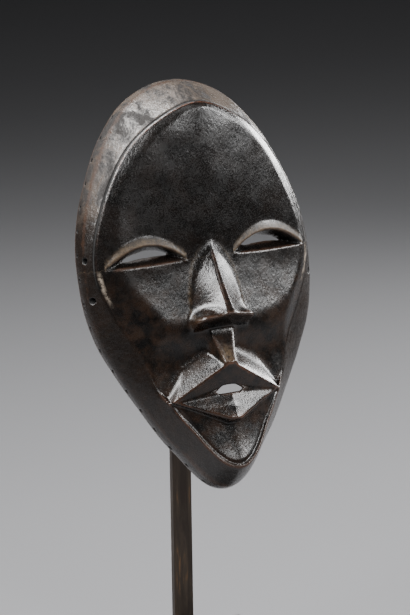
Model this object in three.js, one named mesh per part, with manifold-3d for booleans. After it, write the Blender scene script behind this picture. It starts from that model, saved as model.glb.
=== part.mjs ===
// A carved wooden face mask on the metal stand that shows it, in millimetres, +Z up.
// The mask leans back and looks along -Y. The origin is the centre of the base's underside.
//
// The mask has a frame of its own: x across the face, z up it from the middle of its height, and
// depth forward from the flat back of the rim. Its carving is in units of 1/240 of its height.
import * as THREE from "three";
import { ConvexGeometry } from "three/addons/geometries/ConvexGeometry.js";
import { mergeVertices } from "three/addons/utils/BufferGeometryUtils.js";
import Module from "manifold-3d";

const wasm = await Module();
wasm.setup();

// Driving sizes of the mask.
const MASK_HEIGHT = 240;
const LEAN_DEGREES = 17.8;
const WALL = 8;
const RIM_THICKNESS = 7;
const RIM_WIDTH = 9;
const TIE_HOLE_DIAMETER = 1.8;
const TIE_HOLE_SPACING = 14;
const TIE_HOLE_DEPTH = 3.6;
const EAR_HOLE_DIAMETER = 3.4;

// Driving sizes of the stand.
const BAR_WIDTH = 12;
const BAR_THICKNESS = 4;
const POST_BEHIND_MASK = 24;
const MASK_CLEAR_OF_BASE = 120;
const BASE_WIDTH = 110;
const BASE_DEPTH = 110;
const BASE_HEIGHT = 18;
const BASE_CHAMFER = 1.5;
const POST_BEHIND_BASE_CENTRE = 17;
const SOCKET_DEPTH = 10;
const SOCKET_CLEARANCE = 0.4;
const TOP_ARM_LENGTH = 12;
const LOW_ARM_TIP = 9;
const ARM_GAP = 2.5;

const UNIT = MASK_HEIGHT / 240;
const LEAN = THREE.MathUtils.degToRad(LEAN_DEGREES);
const { clamp, lerp, smoothstep } = THREE.MathUtils;

// Radii in units from the middle of the face, every 15 degrees from the crown to the chin: the rim,
// then the carved edge inside it, which is the forehead's ridge above and the jaw line below.
const CENTRE_Z = 10;
const STEP = Math.PI / 12;
const RIM_RADII = [110, 105, 93.6, 83, 76.8, 73.2, 71.6, 72.9, 75.9, 80.4, 90, 108, 129.5];
const EDGE_RADII = [94, 89, 82.5, 75, 70, 67.5, 66, 63, 62, 65, 77, 95, 117.5];
const EDGE_DEPTHS = [40.5, 35.5, 29.5, 25.5, 22.5, 20, 18.5, 18, 18, 18.5, 20.5, 26, 32];

// A smooth value between the numbers of such a list, at an angle from the crown.
function around(list, angle) {
  const place = angle / STEP;
  const i = Math.min(Math.floor(place), list.length - 2);
  const t = place - i;
  const value = (n) => list[n < 0 ? -n : n >= list.length ? 2 * (list.length - 1) - n : n];
  const [a, b, c, d] = [value(i - 1), value(i), value(i + 1), value(i + 2)];
  const bend = (2 * a - 5 * b + 4 * c - d) * t + (3 * (b - c) + d - a) * t * t;
  return b + 0.5 * t * (c - a + bend);
}

// The larger of two depths, rounded where they cross, and the smaller.
function softMax(a, b, round) {
  const h = Math.max(round - Math.abs(a - b), 0);
  return Math.max(a, b) + (h * h) / (4 * round);
}
const softMin = (a, b, round) => -softMax(-a, -b, round);

// The upper face: flat cheeks, which slope back to the sides, and a domed forehead above them.
const CHEEK = { depth: 30.5, across: 0.16, up: 0.1, middle: -5 };
const FOREHEAD = { bulge: 17.5, z: 78, foot: 18, reach: 70, rise: 0.0003, blend: 3 };
function upperFace(a, z) {
  const cheek = CHEEK.depth - CHEEK.across * a - CHEEK.up * (z - CHEEK.middle);
  const eyeLine = CHEEK.depth - CHEEK.across * a - CHEEK.up * (FOREHEAD.foot - CHEEK.middle);
  const up = z - FOREHEAD.z;
  const fall = 1 / (FOREHEAD.z - FOREHEAD.foot) ** 2;
  const profile = 1 - (up > 0 ? FOREHEAD.rise : fall) * up * up;
  const forehead = eyeLine + FOREHEAD.bulge * (1 - (a / FOREHEAD.reach) ** 2) * profile;
  return softMax(forehead, cheek, FOREHEAD.blend);
}

// Under the cheekbone the face drops to a shallow recess round the mouth.
const CHEEKBONE = { z: -26, rise: 19, from: 18, to: 59, power: 2.5, drop: 0.8, blend: 8 };
const CHEEKBONE_REACH = 1.3;
const RECESS = { depth: 25, across: 0.12, blend: 4 };
function midFace(a, z) {
  const along = (a - CHEEKBONE.from) / (CHEEKBONE.to - CHEEKBONE.from);
  const out = clamp(along, 0, CHEEKBONE_REACH);
  const bone = CHEEKBONE.z + CHEEKBONE.rise * out ** CHEEKBONE.power;
  const fallen = upperFace(a, z) - CHEEKBONE.drop * softMax(bone - z, 0, CHEEKBONE.blend);
  return softMax(fallen, RECESS.depth - RECESS.across * a, RECESS.blend);
}

// The chin is a plate set inside the jaw line, with its keel down the middle.
const CHIN = { depth: 30.3, z: -84, rise: 0.004, across: 0.27, groove: 0.965, from: -60, full: -70 };
function chin(a, z) {
  return CHIN.depth + CHIN.rise * (z - CHIN.z) ** 2 - CHIN.across * a;
}

// The front of the mask without its nose, lips and eyes. A rounded bevel climbs from the ridge to
// the forehead, and at the chin a small wall drops from the jaw line to the plate.
const BEVEL = { slope: 1.6, blend: 3 };
const BAND_POWER = 0.75;
function faceDepth(x, z) {
  const a = Math.abs(x);
  const angle = Math.atan2(a, z - CENTRE_Z);
  const radius = Math.hypot(x, z - CENTRE_Z);
  const rim = around(RIM_RADII, angle);
  const edge = around(EDGE_RADII, angle);
  const edgeDepth = around(EDGE_DEPTHS, angle);
  const start = RIM_THICKNESS / UNIT;
  if (radius >= edge) {
    const inward = clamp((rim - radius) / (rim - edge), 0, 1);
    return start + (edgeDepth - start) * inward ** BAND_POWER;
  }
  const bevel = edgeDepth + BEVEL.slope * (edge - radius);
  const upper = softMin(midFace(a, z), bevel, BEVEL.blend);
  const wall = smoothstep(radius / edge, CHIN.groove, 1);
  const lower = lerp(chin(a, z), edgeDepth, wall);
  return lerp(upper, lower, smoothstep(-z, -CHIN.from, -CHIN.full));
}

// The hollow behind it follows the face at the wall's thickness, with pockets behind the nose and
// the mouth.
const POCKETS = [
  { depth: 9, z: -8, halfWidth: 9, halfHeight: 17 },
  { depth: 7, z: -62, halfWidth: 16, halfHeight: 12 },
];
function hollowDepth(x, z) {
  const pocket = ({ depth, z: middle, halfWidth, halfHeight }) =>
    depth * Math.exp(-((x / halfWidth) ** 2) - ((z - middle) / halfHeight) ** 2);
  const pockets = POCKETS.map(pocket).reduce((sum, depth) => sum + depth);
  return faceDepth(x, z) + pockets - WALL / UNIT;
}

// A point of the mask's frame, from x, depth and z in units.
const at = (x, depth, z) => new THREE.Vector3(x * UNIT, -depth * UNIT, z * UNIT);

// A closed body from a stack of rings with as many points each, capped by a fan at both ends.
function loft(rings) {
  const n = rings[0].length;
  const points = rings.flat();
  const middle = (ring) => ring.reduce((sum, p) => sum.add(p), new THREE.Vector3()).divideScalar(n);
  const first = points.push(middle(rings[0])) - 1;
  const last = points.push(middle(rings.at(-1))) - 1;
  const faces = [];
  for (let i = 0; i < n; i++) {
    const j = (i + 1) % n;
    for (let r = 0; r + 1 < rings.length; r++) {
      const a = r * n + i;
      const b = r * n + j;
      faces.push(a, b, b + n, a, b + n, a + n);
    }
    const end = (rings.length - 1) * n;
    faces.push(first, j, i, last, end + i, end + j);
  }
  const geometry = new THREE.BufferGeometry().setFromPoints(points);
  return geometry.setIndex(faces);
}

// Solids for joining and cutting, and back again.
function solid(geometry, matrix = new THREE.Matrix4()) {
  const bare = new THREE.BufferGeometry();
  bare.setAttribute("position", geometry.getAttribute("position").clone());
  bare.setIndex(geometry.index);
  const merged = mergeVertices(bare.applyMatrix4(matrix), 1e-4);
  const vertProperties = merged.attributes.position.array;
  const made = new wasm.Manifold(
    new wasm.Mesh({ numProp: 3, vertProperties, triVerts: new Uint32Array(merged.index.array) }),
  );
  if (made.volume() > 0) return made;
  const triVerts = new Uint32Array(merged.index.array).reverse();
  return new wasm.Manifold(new wasm.Mesh({ numProp: 3, vertProperties, triVerts }));
}

function geometryOf(manifold) {
  const { vertProperties, triVerts } = manifold.getMesh();
  const geometry = new THREE.BufferGeometry();
  geometry.setAttribute("position", new THREE.BufferAttribute(new Float32Array(vertProperties), 3));
  geometry.setIndex(new THREE.BufferAttribute(new Uint32Array(triVerts), 1));
  const flat = geometry.toNonIndexed();
  flat.computeVertexNormals();
  return flat;
}

// The length along the rim from the crown to each of many even angles, right round.
const TURN = 2 * Math.PI;
const FINE = 1440;
const fold = (angle) => Math.min(angle, TURN - angle);
function rimLengths() {
  const lengths = [0];
  let before = new THREE.Vector2(0, around(RIM_RADII, 0));
  for (let i = 1; i <= FINE; i++) {
    const angle = (TURN * i) / FINE;
    const radius = around(RIM_RADII, fold(angle));
    const spot = new THREE.Vector2(Math.sin(angle), Math.cos(angle)).multiplyScalar(radius);
    lengths.push(lengths[i - 1] + spot.distanceTo(before));
    before = spot;
  }
  return lengths;
}

// Angles from the crown, right round, at even steps along the rim.
function evenAngles(count) {
  const lengths = rimLengths();
  const angles = [];
  for (let k = 0, i = 0; k < count; k++) {
    const wanted = (lengths[FINE] * k) / count;
    while (lengths[i + 1] < wanted) i++;
    const share = (wanted - lengths[i]) / (lengths[i + 1] - lengths[i]);
    angles.push((TURN * (i + share)) / FINE);
  }
  return angles;
}

// A ring of points round the face's middle, where radiusAt and depthAt give its shape.
function ring(angles, radiusAt, depthAt) {
  return angles.map((angle) => {
    const radius = radiusAt(fold(angle));
    const x = radius * Math.sin(angle);
    const z = CENTRE_Z + radius * Math.cos(angle);
    return at(x, depthAt(x, z), z);
  });
}

const SEGMENTS = 84;
const FACE_RINGS = [0.12, 0.24, 0.36, 0.47, 0.57, 0.66, 0.74, 0.82, 0.89, 0.935, 0.965, 1];
const BAND_RINGS = [0.3, 0.62, 0.86];
const BACK_RING = 0.5;
const BACK_EDGE = 1;
const HOLLOW_RINGS = [0.15, 0.3, 0.45, 0.6, 0.74, 0.86, 0.95];

const rimAt = (angle) => around(RIM_RADII, angle);
const edgeAt = (angle) => around(EDGE_RADII, angle);
const hollowAt = (angle) => rimAt(angle) - RIM_WIDTH / UNIT;

// The outer form, solid from the flat back to the face.
function shield() {
  const angles = evenAngles(SEGMENTS);
  const flatBack = () => 0;
  const rings = [
    ring(angles, (angle) => BACK_RING * rimAt(angle), flatBack),
    ring(angles, (angle) => rimAt(angle) - BACK_EDGE, flatBack),
    ring(angles, rimAt, () => BACK_EDGE),
    ring(angles, rimAt, () => RIM_THICKNESS / UNIT),
  ];
  for (const share of BAND_RINGS)
    rings.push(ring(angles, (angle) => lerp(rimAt(angle), edgeAt(angle), share), faceDepth));
  for (const share of FACE_RINGS.toReversed())
    rings.push(ring(angles, (angle) => share * edgeAt(angle), faceDepth));
  return solid(loft(rings));
}

// The plug that cuts the hollow, from a little behind the flat back.
const HOLLOW_CORNER = 0.75;
const BEHIND_BACK = 3;
function hollow() {
  const angles = evenAngles(SEGMENTS / 2);
  const rings = [ring(angles, hollowAt, () => -BEHIND_BACK)];
  rings.push(ring(angles, hollowAt, (x, z) => HOLLOW_CORNER * hollowDepth(x, z)));
  for (const share of HOLLOW_RINGS.toReversed())
    rings.push(ring(angles, (angle) => share * hollowAt(angle), hollowDepth));
  return solid(loft(rings));
}

// The nose: a narrow back and flat sides that deepen and widen from the root to the tip, cut off
// below by a plane, with a round wing each side.
const NOSE = { root: 27, tip: -29, base: -20, rows: 14 };
const NOSE_BACK = { depth: 32, linear: 12, square: 7.5, halfWidth: 0.3, widening: 1.7 };
const NOSE_SIDE = { halfWidth: 14.6, power: 3.4 };
const NOSE_ROOT_DEPTH = 20;
const NOSE_SINK = 1;
const NOSE_CUT = { halfWidth: 30, front: 70, back: 10, z: -60 };
const WING = { x: 10.8, depth: 36.5, z: -20.2, halfWidth: 7.5, halfDepth: 10, halfHeight: 6.2 };
const NOSE_BASE = { z: -19.3, depth: 50, slope: 0.34 };
function nose() {
  const rows = [];
  for (let i = 0; i <= NOSE.rows; i++) {
    const z = lerp(NOSE.root, NOSE.tip, i / NOSE.rows);
    const t = (NOSE.root - z) / (NOSE.root - NOSE.base);
    const depth = NOSE_BACK.depth + NOSE_BACK.linear * t + NOSE_BACK.square * t * t;
    const back = NOSE_BACK.halfWidth + NOSE_BACK.widening * t;
    const side = back + NOSE_SIDE.halfWidth * (1 - Math.max(1 - t, 0) ** NOSE_SIDE.power);
    const foot = Math.min(faceDepth(side, Math.max(z, NOSE.base)), depth) - NOSE_SINK;
    rows.push([
      at(-side, NOSE_ROOT_DEPTH, z),
      at(-side, foot, z),
      at(-back, depth, z),
      at(back, depth, z),
      at(side, foot, z),
      at(side, NOSE_ROOT_DEPTH, z),
    ]);
  }
  let made = solid(loft(rows));
  for (const side of [-1, 1]) {
    const ball = new THREE.SphereGeometry(1, 16, 10);
    const place = new THREE.Matrix4().compose(
      at(side * WING.x, WING.depth, WING.z),
      new THREE.Quaternion(),
      at(WING.halfWidth, -WING.halfDepth, WING.halfHeight),
    );
    made = made.add(solid(ball, place));
  }
  const under = (depth) => NOSE_BASE.z - NOSE_BASE.slope * (NOSE_BASE.depth - depth);
  const { halfWidth, front, back, z } = NOSE_CUT;
  const cut = [-halfWidth, halfWidth].flatMap((x) => [
    at(x, front, under(front)),
    at(x, back, under(back)),
    at(x, front, z),
    at(x, back, z),
  ]);
  return made.subtract(solid(new ConvexGeometry(cut)));
}

// The lips stand out as a four-sided pyramid, with the mouth's funnel cut into it. The upper one
// slopes back to a fold in the face, and the philtrum joins it to the nose.
const LIP = {
  corner: [33.2, 25.5, -65],
  upper: [1.6, 40, -47],
  lower: [3.5, 38, -79],
  inside: [1.6, 33, -60],
  fold: [7.5, 22, -37],
  philtrum: [7.6, 31.5, -26],
  flank: [12, 20, -27],
};
const LIP_ROOT_DEPTH = 16;
const ROOT_SHIFT = { fold: 4, cornerUp: 3, cornerDown: -1, cornerLow: 1, lower: -6, philtrum: 6 };
const both = ([x, depth, z]) => [at(x, depth, z), at(-x, depth, z)];
function lips() {
  const { corner, upper, lower, inside, fold, philtrum, flank } = LIP;
  const rootOf = ([x, , z], shift) => [x, LIP_ROOT_DEPTH, z + shift];
  const lifted = [rootOf(corner, ROOT_SHIFT.cornerUp), rootOf(corner, ROOT_SHIFT.cornerDown)];
  const bodies = [
    [corner, upper, fold, rootOf(fold, ROOT_SHIFT.fold), ...lifted],
    [philtrum, upper, flank, fold, rootOf(philtrum, ROOT_SHIFT.philtrum)],
    [corner, lower, inside, rootOf(lower, ROOT_SHIFT.lower), rootOf(corner, ROOT_SHIFT.cornerLow)],
  ];
  const solids = bodies.map((points) => solid(new ConvexGeometry(points.flatMap(both))));
  return solids.reduce((made, body) => made.add(body));
}

// A point past the outer one on the line from the inner one.
function beyond(outer, inner, times) {
  return outer.map((value, i) => value + (value - inner[i]) * times);
}

// The mouth: a funnel made of two halves, which meet at the hole, and the hole's way through.
const MOUTH_CORNER = [27, 27.5, -65.3];
const HOLE = { top: [2.6, 34, -59.2], side: [7.8, 33, -62.4], bottom: [6.6, 32.5, -64] };
const HOLE_FLARE = 3;
function mouth() {
  const { top, side, bottom } = HOLE;
  const rim = [beyond(LIP.upper, top, 1), beyond(LIP.lower, bottom, 1)];
  const corner = beyond(MOUTH_CORNER, side, 0.5);
  const middle = [...rim, top, bottom].map(([, depth, z]) => at(0, depth, z));
  const tunnelBack = [top, side, bottom].map(([x, , z]) => [x * HOLE_FLARE, 0, z]);
  let made = solid(new ConvexGeometry([top, side, bottom, ...tunnelBack].flatMap(both)));
  for (const turn of [-1, 1]) {
    const half = [...rim, corner, top, side, bottom].map(([x, depth, z]) => at(turn * x, depth, z));
    made = made.add(solid(new ConvexGeometry([...half, ...middle])));
  }
  return made;
}

// Each eye is an arched slit, wide at the face and narrow behind.
const EYE = { inner: 14.5, outer: 62.2, z: 15.3, lid: 10.7, sag: 0.8 };
const SLIT = { inner: 21, outer: 49.5, z: 18.8, lid: 4.6, sag: -1.6 };
const EYE_STEPS = 10;
const EYE_BACK = 2;
function crescent(side, shape, depthAt) {
  const middle = (shape.inner + shape.outer) / 2;
  const half = (shape.outer - shape.inner) / 2;
  const points = [];
  for (let i = 0; i < 2 * EYE_STEPS; i++) {
    const upper = i < EYE_STEPS;
    const across = upper ? -1 + (2 * i) / EYE_STEPS : 3 - (2 * i) / EYE_STEPS;
    const bow = 1 - across * across;
    const x = middle + across * half;
    const z = shape.z + bow * (upper ? shape.lid : -shape.sag);
    points.push(at(side * x, depthAt(x, z), z));
  }
  return points;
}

function eye(side) {
  const wider = {
    inner: 2 * EYE.inner - SLIT.inner,
    outer: 2 * EYE.outer - SLIT.outer,
    z: 2 * EYE.z - SLIT.z,
    lid: 2 * EYE.lid - SLIT.lid,
    sag: 2 * EYE.sag - SLIT.sag,
  };
  const wall = WALL / UNIT;
  const rings = [
    crescent(side, wider, (x, z) => faceDepth(clamp(x, EYE.inner, EYE.outer), z) + wall),
    crescent(side, SLIT, (x, z) => faceDepth(x, z) - wall),
    crescent(side, SLIT, () => EYE_BACK),
  ];
  return solid(loft(rings));
}

// The upper eyelid, a thin raised arch over the slit, which fades out at both ends.
const LID = { height: 2.6, width: 6.5, root: 3, steps: 12, thinnest: 0.15, narrowest: 0.35 };
const LID_OVERLAP = 1;
const LID_SINK = 0.3;
function eyelid(side) {
  const rings = [];
  for (let i = 0; i <= LID.steps; i++) {
    const across = -1 + (2 * i) / LID.steps;
    const bow = 1 - across * across;
    const x = lerp(EYE.inner, EYE.outer, i / LID.steps);
    const low = EYE.z + EYE.lid * bow - LID_OVERLAP;
    const high = low + LID_OVERLAP + LID.width * lerp(LID.narrowest, 1, bow);
    const tall = LID.height * lerp(LID.thinnest, 1, bow);
    rings.push([
      at(side * x, faceDepth(x, low) - LID.root, low),
      at(side * x, faceDepth(x, low) + tall, low),
      at(side * x, faceDepth(x, high) - LID_SINK, high),
      at(side * x, faceDepth(x, high) - LID.root, high),
    ]);
  }
  return solid(loft(rings));
}

// A round hole through the rim or the side, pointing at the face's middle.
function sideHole(angle, diameter, depth, inset) {
  const radius = rimAt(fold(angle)) - inset / UNIT;
  const [sin, cos] = [Math.sin(angle), Math.cos(angle)];
  const drill = new THREE.CylinderGeometry(diameter / 2, diameter / 2, 4 * RIM_WIDTH, 8);
  const place = new THREE.Matrix4().makeRotationY(angle);
  place.setPosition(at(radius * sin, depth / UNIT, CENTRE_Z + radius * cos));
  return solid(drill, place.multiply(new THREE.Matrix4().makeRotationX(Math.PI / 2)));
}

const EAR_ANGLES = [80, 99].map(THREE.MathUtils.degToRad);
const EAR_HOLE_DEPTH = 11.5;
function mask() {
  let made = shield();
  for (const side of [-1, 1]) made = made.add(eyelid(side));
  made = made.add(nose()).add(lips());
  made = made.subtract(hollow()).subtract(mouth());
  for (const side of [-1, 1]) made = made.subtract(eye(side));
  const perimeter = rimLengths().at(-1) * UNIT;
  const angles = evenAngles(Math.round(perimeter / TIE_HOLE_SPACING));
  for (const angle of angles)
    made = made.subtract(sideHole(angle, TIE_HOLE_DIAMETER, TIE_HOLE_DEPTH, RIM_WIDTH / 2));
  for (const angle of EAR_ANGLES)
    for (const turned of [angle, TURN - angle])
      made = made.subtract(sideHole(turned, EAR_HOLE_DIAMETER, EAR_HOLE_DEPTH, RIM_WIDTH));
  return made;
}

const MASK_ORIGIN = new THREE.Vector3(
  0,
  POST_BEHIND_BASE_CENTRE - POST_BEHIND_MASK,
  BASE_HEIGHT + MASK_CLEAR_OF_BASE + (MASK_HEIGHT / 2) * Math.cos(LEAN),
);

// A point of the mask's frame where it stands.
const placed = (point) => point.applyAxisAngle(new THREE.Vector3(1, 0, 0), -LEAN).add(MASK_ORIGIN);

// The stand's bar: it rises from the base behind the mask, turns forward under the crown of the
// hollow, and carries a lower arm whose turned-up end reaches the hollow above the chin.
const LOW_ARM_Z = -76;
function bar() {
  const back = POST_BEHIND_BASE_CENTRE + BAR_THICKNESS / 2;
  const front = back - BAR_THICKNESS;
  const bottom = BASE_HEIGHT - SOCKET_DEPTH + SOCKET_CLEARANCE;
  const crown = (CENTRE_Z + hollowAt(0)) * UNIT - ARM_GAP;
  const behind = back - MASK_ORIGIN.y;
  const top = MASK_ORIGIN.z + (crown - behind * Math.sin(LEAN)) / Math.cos(LEAN);
  const tip = placed(at(0, hollowDepth(0, LOW_ARM_Z) - ARM_GAP / UNIT, LOW_ARM_Z));
  const arm = tip.z - LOW_ARM_TIP;
  const profile = [
    [back, bottom],
    [back, top],
    [front - TOP_ARM_LENGTH, top],
    [front - TOP_ARM_LENGTH, top - BAR_THICKNESS],
    [front, top - BAR_THICKNESS],
    [front, arm],
    [tip.y + BAR_THICKNESS, arm],
    [tip.y + BAR_THICKNESS, tip.z],
    [tip.y, tip.z],
    [tip.y, arm - BAR_THICKNESS],
    [front, arm - BAR_THICKNESS],
    [front, bottom],
  ];
  const shape = new THREE.Shape(profile.map(([y, z]) => new THREE.Vector2(y, z)));
  const plain = { depth: BAR_WIDTH, bevelEnabled: false };
  const geometry = new THREE.ExtrudeGeometry(shape, plain).translate(0, 0, -BAR_WIDTH / 2);
  const [x, y, z] = [0, 1, 2].map((axis) => new THREE.Vector3().setComponent(axis, 1));
  return geometry.applyMatrix4(new THREE.Matrix4().makeBasis(y, z, x));
}

// The base, a plain block with chamfered edges and a socket for the bar.
function base() {
  const [w, d, h, c] = [BASE_WIDTH / 2, BASE_DEPTH / 2, BASE_HEIGHT, BASE_CHAMFER];
  const corners = [];
  for (const sx of [-1, 1])
    for (const sy of [-1, 1])
      corners.push(
        new THREE.Vector3(sx * (w - c), sy * d, 0),
        new THREE.Vector3(sx * w, sy * (d - c), 0),
        new THREE.Vector3(sx * (w - c), sy * d, h - c),
        new THREE.Vector3(sx * w, sy * (d - c), h - c),
        new THREE.Vector3(sx * (w - c), sy * (d - c), h),
      );
  const socket = new THREE.BoxGeometry(
    BAR_WIDTH + 2 * SOCKET_CLEARANCE,
    BAR_THICKNESS + 2 * SOCKET_CLEARANCE,
    2 * SOCKET_DEPTH,
  );
  socket.translate(0, POST_BEHIND_BASE_CENTRE, BASE_HEIGHT);
  return solid(new ConvexGeometry(corners)).subtract(solid(socket));
}

const WOOD = new THREE.MeshStandardMaterial({ color: 0x241b16, roughness: 0.35, metalness: 0 });
const BRONZED = new THREE.MeshStandardMaterial({ color: 0x4a3d33, roughness: 0.45, metalness: 1 });
const BLACK = new THREE.MeshStandardMaterial({ color: 0x1b1b1c, roughness: 0.5, metalness: 1 });

function named(name, geometry, material) {
  const mesh = new THREE.Mesh(geometry, material);
  mesh.name = name;
  return mesh;
}

const carving = named("mask", geometryOf(mask()), WOOD);
carving.rotation.x = -LEAN;
carving.position.copy(MASK_ORIGIN);
const part = new THREE.Group();
part.add(carving);
part.add(named("stand_post", bar(), BRONZED));
part.add(named("stand_base", geometryOf(base()), BLACK));

export default part;
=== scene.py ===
# A carved wooden face mask on its display stand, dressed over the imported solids.
# Lengths of the carving are in millimetres in the mask's own frame: x across the face, z up it from
# the middle of its height, and depth forward from the flat back of the rim. The scene is in metres.
import math
import bpy
import numpy as np
from mathutils import Matrix, Vector


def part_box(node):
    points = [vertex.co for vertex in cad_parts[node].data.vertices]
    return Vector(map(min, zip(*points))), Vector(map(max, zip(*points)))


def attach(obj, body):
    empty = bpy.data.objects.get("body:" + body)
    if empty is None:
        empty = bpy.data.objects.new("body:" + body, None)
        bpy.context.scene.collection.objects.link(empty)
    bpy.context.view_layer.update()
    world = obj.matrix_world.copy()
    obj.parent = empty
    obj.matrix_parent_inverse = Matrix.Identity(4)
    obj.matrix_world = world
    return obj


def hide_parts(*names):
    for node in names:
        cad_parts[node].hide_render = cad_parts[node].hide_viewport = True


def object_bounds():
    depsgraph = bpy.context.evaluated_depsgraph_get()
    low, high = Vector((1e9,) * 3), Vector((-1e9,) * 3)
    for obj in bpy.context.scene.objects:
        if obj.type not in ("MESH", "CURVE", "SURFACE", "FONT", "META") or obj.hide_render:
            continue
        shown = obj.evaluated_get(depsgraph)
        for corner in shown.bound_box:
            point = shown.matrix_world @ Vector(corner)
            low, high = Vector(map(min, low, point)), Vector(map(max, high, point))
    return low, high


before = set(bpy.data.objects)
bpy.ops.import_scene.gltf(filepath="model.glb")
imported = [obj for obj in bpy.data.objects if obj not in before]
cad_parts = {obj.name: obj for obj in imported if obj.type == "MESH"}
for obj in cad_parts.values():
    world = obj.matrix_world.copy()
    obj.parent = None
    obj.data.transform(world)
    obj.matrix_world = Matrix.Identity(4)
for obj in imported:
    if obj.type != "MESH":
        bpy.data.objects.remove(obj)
cad_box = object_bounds()

MM = 0.001
LEAN = math.radians(17.8)
HALF_HEIGHT = 120.0
MASK_CLEAR_OF_BASE = 120.0
POST_BEHIND_MASK = 24.0
POST_THICKNESS = 4.0
WALL = 8.0
RIM_THICKNESS = 7.0
RIM_WIDTH = 9.0
TIE_HOLE_DIAMETER = 1.8
TIE_HOLE_SPACING = 14.0
TIE_HOLE_DEPTH = 3.6
EAR_HOLE_DIAMETER = 3.4
EAR_HOLE_DEPTH = 11.5
EAR_ANGLES = (80.0, 99.0)
VOXEL = 0.8
TRIANGLES = 185000

base_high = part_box("stand_base")[1]
post_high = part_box("stand_post")[1]
MASK_ORIGIN = Vector((
    0.0,
    post_high[1] - (POST_BEHIND_MASK + POST_THICKNESS / 2) * MM,
    base_high[2] + (MASK_CLEAR_OF_BASE + HALF_HEIGHT * math.cos(LEAN)) * MM,
))
MASK_UP = Vector((0.0, math.sin(LEAN), math.cos(LEAN)))
MASK_FORWARD = Vector((0.0, -math.cos(LEAN), math.sin(LEAN)))
MASK_AXES = np.array([(1, 0, 0), tuple(MASK_UP), tuple(MASK_FORWARD)])


# The shape of the face

# Radii from the middle of the face every 15 degrees from the crown to the chin: the rim, then the
# carved edge inside it, which is the forehead's ridge above and the jaw line below.
CENTRE_Z = 10.0
STEP = math.pi / 12
RIM_RADII = (110, 105, 93.6, 83, 76.8, 73.2, 71.6, 72.9, 75.9, 80.4, 90, 108, 129.5)
EDGE_RADII = (94, 89, 82.5, 75, 70, 67.5, 66, 63, 62, 65, 77, 95, 117.5)
EDGE_DEPTHS = (40.5, 35.5, 29.5, 25.5, 22.5, 20, 18.5, 18, 18, 18.5, 20.5, 26, 32)


def around(values, angle):
    """A smooth value between the numbers of such a list, at an angle from the crown."""
    padded = np.array((values[1],) + tuple(values) + (values[-2],), dtype=np.float32)
    place = angle / STEP
    i = np.clip(np.floor(place).astype(int), 0, len(values) - 2)
    t = place - i
    a, b, c, d = (padded[i + n] for n in range(4))
    bend = (2 * a - 5 * b + 4 * c - d) * t + (3 * (b - c) + d - a) * t * t
    return b + 0.5 * t * (c - a + bend)


def lerp(a, b, t):
    return a + (b - a) * t


def smoothstep(value, low, high):
    t = np.clip((value - low) / (high - low), 0, 1)
    return t * t * (3 - 2 * t)


def soft_max(a, b, rounding):
    """The larger of two values, rounded where they cross."""
    h = np.maximum(rounding - np.abs(a - b), 0)
    return np.maximum(a, b) + h * h / (4 * rounding)


def soft_min(a, b, rounding):
    return -soft_max(-a, -b, rounding)


def bump(value, width):
    """1 at 0, falling off smoothly over the width."""
    return np.exp(-((value / width) ** 2))


CHEEK_DEPTH, CHEEK_ACROSS, CHEEK_UP, CHEEK_MIDDLE = 30.5, 0.16, 0.1, -5.0
FOREHEAD_BULGE, FOREHEAD_Z, FOREHEAD_FOOT = 13.0, 106.0, 18.0
FOREHEAD_REACH = 70.0
FOREHEAD_TILT, TILT_FROM, TILT_FULL = 0.03, 20.0, 60.0
KEEL_ROUNDING, KEEL_ROUNDING_TOP, KEEL_FROM, KEEL_TOP = 12.0, 5.0, 80.0, 100.0
BROW_BLEND = 3.0


def upper_face(a, z):
    """Flat cheeks, which slope back to the sides, and a domed forehead above them, which is keeled
    only near its top."""
    cheek = CHEEK_DEPTH - CHEEK_ACROSS * a - CHEEK_UP * (z - CHEEK_MIDDLE)
    keel = lerp(KEEL_ROUNDING, KEEL_ROUNDING_TOP, smoothstep(z, KEEL_FROM, KEEL_TOP))
    keeled = np.sqrt(a * a + keel**2) - keel
    eye_line = CHEEK_DEPTH - CHEEK_ACROSS * keeled - CHEEK_UP * (FOREHEAD_FOOT - CHEEK_MIDDLE)
    down = np.maximum(FOREHEAD_Z - z, 0)
    profile = 1 - (down / (FOREHEAD_Z - FOREHEAD_FOOT)) ** 2
    forehead = eye_line + FOREHEAD_BULGE * (1 - (a / FOREHEAD_REACH) ** 2) * profile
    return soft_max(forehead, cheek, BROW_BLEND)


BONE_Z, BONE_RISE, BONE_FROM, BONE_TO = -26.0, 19.0, 18.0, 59.0
BONE_POWER, BONE_DROP, BONE_REACH, BONE_BLEND = 2.5, 0.8, 1.3, 8.0
RECESS_DEPTH, RECESS_ACROSS, RECESS_UP, RECESS_Z = 24.6, 0.12, 0.09, -45.0
RECESS_BLEND = 11.0


def mid_face(a, z):
    """Under the cheekbone the face drops to a shallow recess round the mouth."""
    out = np.clip((a - BONE_FROM) / (BONE_TO - BONE_FROM), 0, BONE_REACH)
    bone = BONE_Z + BONE_RISE * out**BONE_POWER
    fallen = upper_face(a, z) - BONE_DROP * soft_max(bone - z, 0, BONE_BLEND)
    recess = RECESS_DEPTH - RECESS_ACROSS * a + RECESS_UP * (z - RECESS_Z)
    return soft_max(fallen, recess, RECESS_BLEND)


CHIN_DEPTH, CHIN_Z, CHIN_RISE, CHIN_ACROSS, CHIN_FALL = 30.3, -84.0, 0.004, 0.27, 0.03
CHIN_GROOVE, CHIN_FROM, CHIN_FULL = 0.965, -60.0, -70.0
CHIN_ROUNDING = 9.0
# The ridge falls to the forehead in a bevel, which is flatter on the left, as hand carving is.
BEVEL_RIGHT, BEVEL_LEFT, BEVEL_TURN, BEVEL_ROUNDING = 1.0, 0.5, 15.0, 1.5
BAND_POWER = 0.75


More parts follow.
